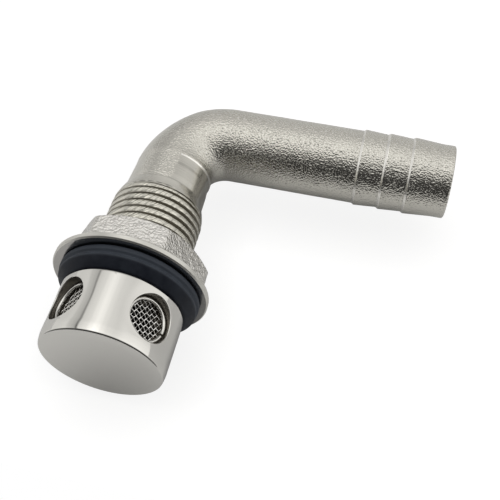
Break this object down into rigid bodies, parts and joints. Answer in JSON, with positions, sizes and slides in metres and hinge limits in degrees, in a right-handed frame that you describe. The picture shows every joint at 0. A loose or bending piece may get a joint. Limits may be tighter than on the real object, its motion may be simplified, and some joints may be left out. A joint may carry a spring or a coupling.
{
  "type": "boat fuel vent",
  "caption": "Through-hull fuel tank vent: polished head with screened windows, gasket, flanged nut on a threaded shank, and a right-angle barbed hose tail.",
  "frame": {"origin": "on the shank's axis in the plane of the gasket's hull side, where the outside of the hull skin goes", "axes": "+Y along the shank from the head into the boat, +X along the hose tail towards its open end, +Z square to the plane of the elbow"},
  "size_m": [0.0807, 0.0728, 0.0342],
  "materials": {
    "blasted_stainless": "cast stainless steel, bead blasted",
    "polished_stainless": "stainless steel, mirror polished, not plated",
    "cast_stainless": "cast stainless steel, as cast on the hexagon and turned on the flange",
    "bright_wire": "bright drawn stainless wire",
    "spring_wire": "bright spring wire",
    "black_rubber": "moulded black rubber, dull sheen"
  },
  "bodies": {
    "vent": {"vent_body": "blasted_stainless", "vent_head": "polished_stainless", "hull_gasket": "black_rubber", "woven_screen_1": "bright_wire", "woven_screen_2": "bright_wire", "woven_screen_3": "bright_wire", "woven_screen_4": "bright_wire", "snap_ring_1": "spring_wire", "snap_ring_2": "spring_wire", "snap_ring_3": "spring_wire", "snap_ring_4": "spring_wire"},
    "nut": {"flange_nut": "cast_stainless"}
  },
  "joints": [
    {"name": "nut_travel", "type": "slide", "parent": "vent", "child": "nut", "axis": [0, 1, 0], "range_m": [0, 0.009]}
  ]
}
